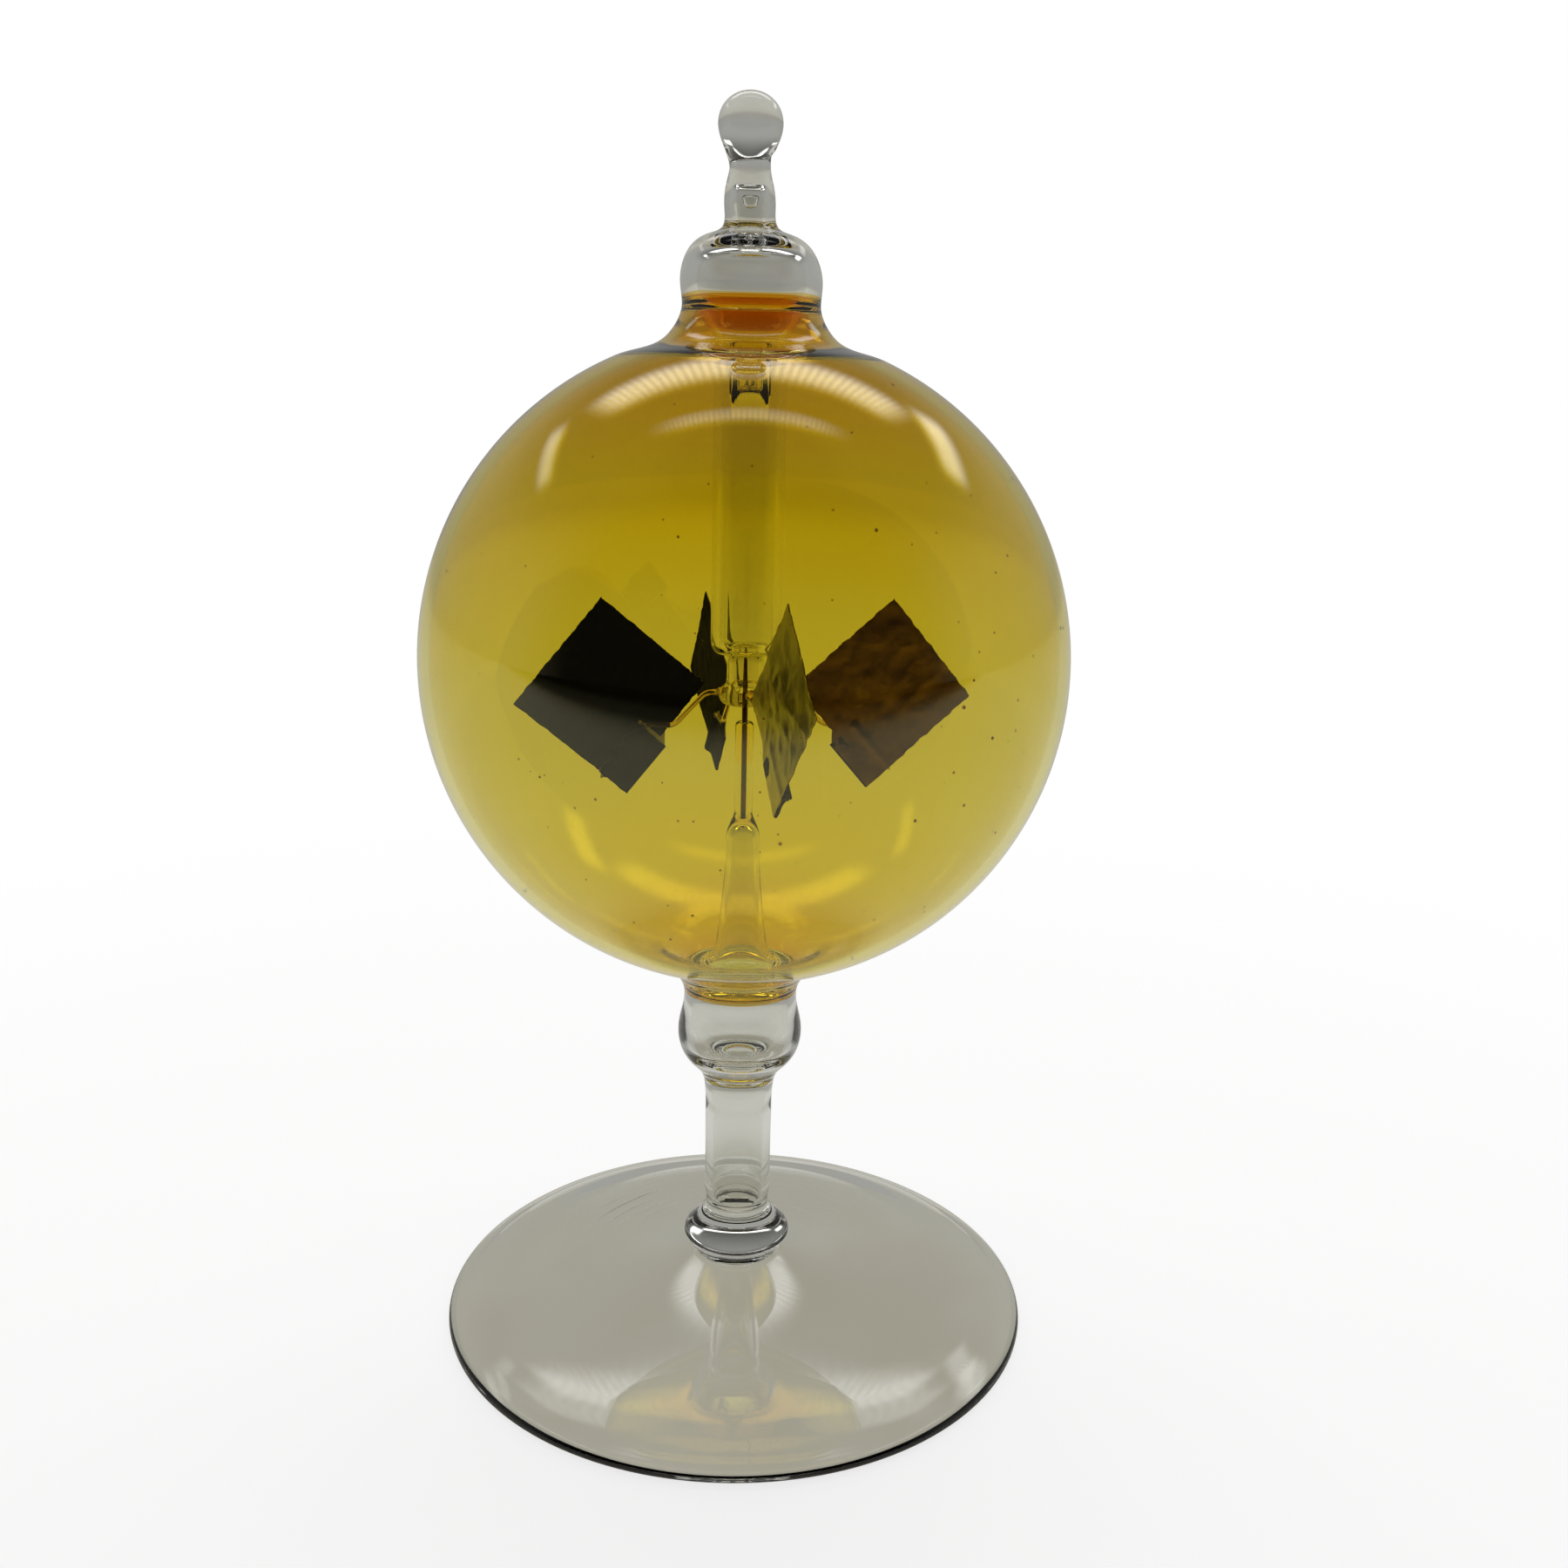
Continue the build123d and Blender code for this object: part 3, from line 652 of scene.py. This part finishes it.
def slab(bm, upper, lower, upper_material, lower_material):
    """Closes two matching grids of points into one thin sheet."""
    rows, cols = len(upper), len(upper[0])
    top = [[bm.verts.new(p) for p in row] for row in upper]
    bottom = [[bm.verts.new(p) for p in row] for row in lower]
    for i in range(rows - 1):
        for j in range(cols - 1):
            face = bm.faces.new((top[i][j], top[i + 1][j], top[i + 1][j + 1], top[i][j + 1]))
            face.material_index = upper_material
            face = bm.faces.new((bottom[i][j], bottom[i][j + 1], bottom[i + 1][j + 1], bottom[i + 1][j]))
            face.material_index = lower_material
    rim = [(i, 0) for i in range(rows)] + [(rows - 1, j) for j in range(1, cols)]
    rim += [(i, cols - 1) for i in range(rows - 2, -1, -1)] + [(0, j) for j in range(cols - 2, 0, -1)]
    for k in range(len(rim)):
        a, b = rim[k], rim[(k + 1) % len(rim)]
        face = bm.faces.new((top[b[0]][b[1]], top[a[0]][a[1]], bottom[a[0]][a[1]], bottom[b[0]][b[1]]))
        face.material_index = upper_material


def hem_depth(u):
    """How far the foil reaches past its edge line towards the fold."""
    return -fold_reach * min(1.0, max(0.0, (u - (hem_start - tear_run)) / tear_run))


def foil_piece(number, vane):
    """The square foil with its creases and torn edges, and the hem folded back round the arm."""
    axes = VaneFrame(**vane)
    steps = 52
    bm = bmesh.new()
    upper, lower = [], []
    for i in range(steps + 1):
        up_row, low_row = [], []
        for j in range(steps + 1):
            u = vane_side * i / steps
            v0 = hem_depth(u)
            v = v0 + (vane_side - v0) * j / steps
            if i in (0, steps):
                u += jag(v, number, edge_stray) - edge_trim * (i == steps)
            if j == steps or (j == 0 and v0 == 0):
                v += jag(u, number + 11, edge_stray) - edge_trim * (j == steps)
            lift = crease(u, v, number, vane["crumple"]) + over_arm(u, v)
            up_row.append(axes.place(u, v, foil_z + lift + foil_half))
            low_row.append(axes.place(u, v, foil_z + lift - foil_half))
        upper.append(up_row)
        lower.append(low_row)
    slab(bm, upper, lower, 0, 1)
    # Section of the hem, across the foil and out of it: flat, round the fold, back, and round the arm
    fold_r = 0.15
    fold = [(0.4, foil_z), (-0.4, foil_z)]
    for a in range(90, -91, -20):
        fold.append((-fold_reach - fold_r * cos(radians(a)), foil_z - fold_r + fold_r * sin(radians(a))))
    fold += [(-0.3, foil_z - 0.31), (0.6, foil_z - 0.3), (1.5, foil_z - 0.33), (1.95, foil_z - 0.52)]
    fold += [(2.12, -0.2), (2.3, -0.38), (arm_line, -0.47), (2.88, -0.4), (3.05, -0.2), (3.2, 0.05)]
    upper, lower = [], []
    across_steps = 26
    for i in range(across_steps + 1):
        s = i / across_steps
        up_row, low_row = [], []
        for j, (v, w) in enumerate(fold):
            before = fold[max(j - 1, 0)]
            after = fold[min(j + 1, len(fold) - 1)]
            tangent = Vector((after[0] - before[0], after[1] - before[1])).normalized()
            normal = Vector((-tangent.y, tangent.x))
            u = hem_start + (vane_side - hem_start) * s
            if i in (0, across_steps):
                u += jag(v * 2.0, number + 23, 0.18)
            vv = v + (jag(u * 1.5, number + 31, 0.2) if j == len(fold) - 1 else 0.0)
            soft = 0.06 * noise.noise(Vector((u * 0.8, v * 0.8, number * 3.0)))
            shift = normal * -foil_half
            up_row.append(axes.place(u, vv + shift.x, w + shift.y + soft))
            low_row.append(axes.place(u, vv - shift.x, w - shift.y + soft))
        upper.append(up_row)
        lower.append(low_row)
    slab(bm, upper, lower, 2, 0)
    made = to_object(f"vane_{number}_foil", bm, [vane["foil"], bright_foil, thin_soot], sharp=50)
    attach(made, "rotor")
    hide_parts(f"vane_foil_{number}")
    return axes


def soot_piece(number, vane, axes):
    """The coat on the dark face, in two fields that leave the hem free."""
    steps = 48
    bm = bmesh.new()
    for u0, u1, v0, v1 in ((0.0, vane_side, soot_edge, vane_side), (0.0, hem_start - 0.5, 0.0, soot_edge)):
        upper, lower = [], []
        for i in range(steps + 1):
            up_row, low_row = [], []
            for j in range(steps + 1):
                u = u0 + (u1 - u0) * i / steps
                v = v0 + (v1 - v0) * j / steps
                if u in (0.0, vane_side):
                    u += jag(v, number, edge_stray) - edge_trim * (u > 1)
                if v in (0.0, vane_side):
                    v += jag(u, number + 11, edge_stray) - edge_trim * (v > 1)
                lift = crease(u, v, number, vane["crumple"]) + over_arm(u, v)
                up_row.append(axes.place(u, v, foil_z - foil_half - soot_gap + lift))
                low_row.append(axes.place(u, v, foil_z - foil_half - soot_depth + lift))
            upper.append(up_row)
            lower.append(low_row)
        slab(bm, upper, lower, 0, 0)
    made = to_object(f"vane_{number}_soot", bm, [soot], sharp=50)
    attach(made, "rotor")
    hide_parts(f"soot_face_{number}")


def rounded_path(points, radius, steps=7):
    """Replaces each corner of a path with a smooth bend."""
    out = [points[0]]
    for before, here, after in zip(points, points[1:], points[2:]):
        into = (before - here)
        away = (after - here)
        reach = min(radius, into.length * 0.48, away.length * 0.48)
        a = here + into.normalized() * reach
        b = here + away.normalized() * reach
        for k in range(steps + 1):
            t = k / steps
            out.append(a * (1 - t) ** 2 + here * 2 * t * (1 - t) + b * t**2)
    out.append(points[-1])
    return out


def arm_piece(number, axes):
    """The drawn filament: from the hub bead to the foil, along its edge, and under the hem to its corner."""
    weld_r, weld_run, weld_end = 0.42, 0.75, 1.6
    thickest = 0.36
    root = axes.outward * 2.75 + Vector((0, 0, hub_middle + arm_r))
    ru, rv = axes.local(root)
    corners = [Vector((ru, rv, 0)), Vector((0.8, -0.73, 0)), Vector((hem_start - 2.6, -0.33, 0)),
               Vector((hem_start - 0.6, arm_line, 0)), Vector((vane_side + 0.45, arm_line, 0))]
    flat = rounded_path(corners, 0.85)
    length = sum((b - a).length for a, b in zip(flat, flat[1:]))
    bm = bmesh.new()
    rings = []
    sides = 14
    walked = 0.0
    dense = []
    for a, b in zip(flat, flat[1:]):
        pieces = max(1, int((b - a).length / 0.4))
        for k in range(pieces):
            dense.append(a.lerp(b, k / pieces))
    dense.append(flat[-1])
    for k, p in enumerate(dense):
        ahead = dense[min(k + 1, len(dense) - 1)] - dense[max(k - 1, 0)]
        tangent = ahead.normalized()
        normal = Vector((-tangent.y, tangent.x, 0))
        if k:
            walked += (p - dense[k - 1]).length
        weld = weld_r * exp(-(walked / weld_run) ** 2)
        thick = arm_r + weld + 0.025 * noise.noise(Vector((walked * 0.5, number * 3.0, 1.0)))
        end = min(1.0, (length - walked) / arm_r) if length - walked < arm_r else 1.0
        thick *= sqrt(max(0.05, 1 - (1 - end) ** 2))
        thick = min(thick, thickest) if walked > weld_end else thick
        ring = []
        for m in range(sides):
            t = 2 * pi * m / sides
            q = p + normal * (thick * cos(t))
            ring.append(bm.verts.new(axes.place(q.x, q.y, thick * sin(t))))
        rings.append(ring)
    for low, high in zip(rings, rings[1:]):
        for m in range(sides):
            n = (m + 1) % sides
            bm.faces.new((low[m], high[m], high[n], low[n]))
    bm.faces.new(rings[0])
    bm.faces.new(list(reversed(rings[-1])))
    bmesh.ops.recalc_face_normals(bm, faces=bm.faces)
    made = to_object(f"arm_{number}_filament", bm, [arm_glass], sharp=60)
    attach(made, "rotor")
    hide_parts(f"arm_{number}")


for number, vane in enumerate(vanes, start=1):
    axes = foil_piece(number, vane)
    soot_piece(number, vane, axes)
    arm_piece(number, axes)


# Stage, light and camera

def stage_floor():
    """Pale table, white to the eye. Seen through and in the glass, it glows with painted light instead of being lit:
    brightest near the foot, grey farther back and dark in front, where the photographer stands, with a painted
    shadow of the glass in a disc right under the foot."""
    bm = bmesh.new()
    for x, y in ((-4.0, -3.0), (4.0, -3.0), (4.0, 4.0), (-4.0, 4.0)):
        bm.verts.new((x, y, -0.00005))
    bm.verts.ensure_lookup_table()
    bm.faces.new(bm.verts)
    made, tree = new_material("pale_studio_floor")
    path = node(tree, "ShaderNodeLightPath")
    reach = node(tree, "ShaderNodeVectorMath", {"operation": "LENGTH"}, i0=position(tree))
    near = node(tree, "ShaderNodeMapRange", {"interpolation_type": "SMOOTHSTEP"}, Value=reach.outputs["Value"],
                From_Min=0.08, From_Max=0.3, To_Min=1.0, To_Max=0.0)
    lit = node(tree, "ShaderNodeBsdfDiffuse", None, Color=linear("C4C4C4"))
    glow = node(tree, "ShaderNodeEmission", None, Color=linear("FFFFFF"), Strength=0.8)
    close = node(tree, "ShaderNodeAddShader", None, i0=lit.outputs[0], i1=glow.outputs[0])
    white = node(tree, "ShaderNodeEmission", None, Color=linear("FFFFFF"), Strength=1.0)
    pale = node(tree, "ShaderNodeMixShader", None, i0=near.outputs[0], i1=white.outputs[0], i2=close.outputs[0])
    # Painted light on the seen-through table: brightest near the foot, greyer farther back, dark towards the
    # photographer
    split = node(tree, "ShaderNodeSeparateXYZ", None, Vector=position(tree))
    depth = node(tree, "ShaderNodeMapRange", None, Value=split.outputs["Y"], From_Min=-1.0, From_Max=3.0)
    table = ramp(tree, depth.outputs[0], [
        (0.0, linear("1C1C1B")),
        (0.125, linear("4A4A48")),
        (0.20, linear("C8C7C2")),
        (0.25, linear("CFCEC9")),
        (0.275, linear("CFCEC9")),
        (0.34, linear("C2C1BA")),
        (0.55, linear("BAB8AE")),
        (0.85, linear("A9A69E")),
    ])
    # Painted shadow: the glowing table is darkened in a disc under the foot, where the shadow of the glass would fall
    shade = ramp(tree, node(tree, "ShaderNodeMapRange", None, Value=reach.outputs["Value"], From_Min=0.0,
                            From_Max=0.2).outputs[0], [
        (0.0, linear("D6D3C8")),
        (0.17, linear("D8D5CA")),
        (0.27, linear("FFFFFF")),
    ])
    table_painted_light_and_shadow = node(tree, "ShaderNodeMix", {"data_type": "RGBA", "blend_type": "MULTIPLY"}, i0=1.0, i6=table,
                  i7=shade)
    grey = node(tree, "ShaderNodeEmission", None, Color=table_painted_light_and_shadow.outputs["Result"], Strength=1.0)
    mixed = node(tree, "ShaderNodeMixShader", None, i0=path.outputs["Is Camera Ray"], i1=grey.outputs[0],
                 i2=pale.outputs[0])
    node(tree, "ShaderNodeOutputMaterial", None, Surface=mixed.outputs[0])
    floor = to_object("floor", bm, [made])


def studio_air():
    """White to the eye. Seen through and in the glass, a grey room that is darker overhead and nearly
    black on the photographer's side."""
    world = bpy.data.worlds.new("studio_air")
    scene.world = world
    world.use_nodes = True
    tree = world.node_tree
    tree.nodes.clear()
    path = node(tree, "ShaderNodeLightPath")
    direction = node(tree, "ShaderNodeTexCoord").outputs["Generated"]
    split = node(tree, "ShaderNodeSeparateXYZ", None, Vector=direction)
    room = ramp(tree, node(tree, "ShaderNodeMapRange", None, Value=split.outputs["Z"], From_Min=-1.0,
                           From_Max=1.0).outputs[0], [
        (0.40, linear("A9A69E")),
        (0.50, linear("A3A19B")),
        (0.55, linear("A4A4A2")),
        (0.66, linear("A4A4A2")),
        (0.86, linear("5E5E5D")),
        (1.0, linear("585857")),
    ])
    front = node(tree, "ShaderNodeMapRange", {"interpolation_type": "SMOOTHSTEP"}, Value=split.outputs["Y"],
                 From_Min=-0.05, From_Max=-0.5, To_Min=0.0, To_Max=0.94)
    behind_lens = node(tree, "ShaderNodeMix", {"data_type": "RGBA"}, i0=front.outputs[0], i6=room,
                       i7=linear("0C0C0C"))
    room = behind_lens.outputs["Result"]
    seen = node(tree, "ShaderNodeBackground", None, Color=linear("FFFFFF"), Strength=1.0)
    unseen = node(tree, "ShaderNodeBackground", None, Color=room, Strength=1.0)
    mixed = node(tree, "ShaderNodeMixShader", None, i0=path.outputs["Is Camera Ray"], i1=unseen.outputs[0],
                 i2=seen.outputs[0])
    node(tree, "ShaderNodeOutputWorld", None, Surface=mixed.outputs[0])


def softbox(name, azimuth, elevation, width, height, power, soft_ends=0.3, soft_sides=0.45, colour="FFFFFF"):
    """A soft panel aimed at the bulb from a metre away, fading out to its edges.
    Azimuth 0 is the camera's side, 90 is to its right."""
    distance = 1.0
    a, e = radians(azimuth), radians(elevation)
    aim = Vector((0, 0, 0.089))
    place = aim + distance * Vector((sin(a) * cos(e), -cos(a) * cos(e), sin(e)))
    lamp = bpy.data.lights.new(name, "AREA")
    lamp.shape = "RECTANGLE"
    lamp.size = width
    lamp.size_y = height
    lamp.energy = power
    lamp.color = linear(colour)[:3]
    lamp.use_nodes = True
    tree = lamp.node_tree
    tree.nodes.clear()
    rib_phase = 280.0
    on_panel = node(tree, "ShaderNodeNewGeometry").outputs["Parametric"]
    across = node(tree, "ShaderNodeSeparateXYZ", None, Vector=on_panel)
    fades = []
    for axis, soft in (("X", soft_ends), ("Y", soft_sides)):
        inset = node(tree, "ShaderNodeMath", {"operation": "PINGPONG"}, i0=across.outputs[axis], i1=0.5)
        fade = node(tree, "ShaderNodeMapRange", {"interpolation_type": "SMOOTHERSTEP"}, Value=inset.outputs[0],
                    From_Min=0.0, From_Max=soft)
        fades.append(fade.outputs[0])
    edges = node(tree, "ShaderNodeMath", {"operation": "MULTIPLY"}, i0=fades[0], i1=fades[1])
    phase = node(tree, "ShaderNodeMath", {"operation": "MULTIPLY"}, i0=across.outputs["X"], i1=rib_phase)
    louvre = node(tree, "ShaderNodeMath", {"operation": "SINE"}, i0=phase.outputs[0])
    ribs = node(tree, "ShaderNodeMapRange", None, Value=louvre.outputs[0], From_Min=-1.0, From_Max=1.0,
                To_Min=0.72, To_Max=1.0)
    strength = node(tree, "ShaderNodeMath", {"operation": "MULTIPLY"}, i0=edges.outputs[0], i1=ribs.outputs[0])
    glow = node(tree, "ShaderNodeEmission", None, Strength=strength.outputs[0])
    node(tree, "ShaderNodeOutputLight", None, Surface=glow.outputs[0])
    holder = bpy.data.objects.new(name, lamp)
    look = (aim - place).normalized()
    holder.rotation_euler = look.to_track_quat("-Z", "Y").to_euler()
    holder.location = place
    holder.visible_camera = False
    scene.collection.objects.link(holder)


stage_floor()
studio_air()
softbox("back_panel", 180, 56, 1.25, 0.4, 4.6, soft_ends=0.16)
softbox("overhead_strip", 180, 83, 1.0, 0.16, 1.0)
softbox("right_panel", 130, 37, 0.5, 0.2, 0.9)
softbox("left_panel", -121, 38, 0.5, 0.12, 0.4)

camera_data = bpy.data.cameras.new("camera")
camera_data.sensor_width = 36.0
camera_data.lens = 35.34
camera_data.clip_start = 0.01
camera = bpy.data.objects.new("camera", camera_data)
right = Vector((0.99952236, -0.02143111, 0.02226581))
upward = Vector((-0.01639412, 0.24304768, 0.96987579))
forward = Vector((0.02619716, 0.96977757, -0.24258025))
turn = Matrix((right, upward, -forward)).transposed()
camera.matrix_world = Matrix.Translation(Vector((0, -0.19049, 0.12094))) @ turn.to_4x4()
scene.collection.objects.link(camera)
scene.camera = camera

scene.view_settings.view_transform = "Standard"
scene.view_settings.look = "None"
scene.cycles.max_bounces = 24
scene.cycles.transmission_bounces = 24
scene.cycles.glossy_bounces = 8
scene.cycles.transparent_max_bounces = 16
scene.cycles.caustics_refractive = False
scene.cycles.caustics_reflective = False
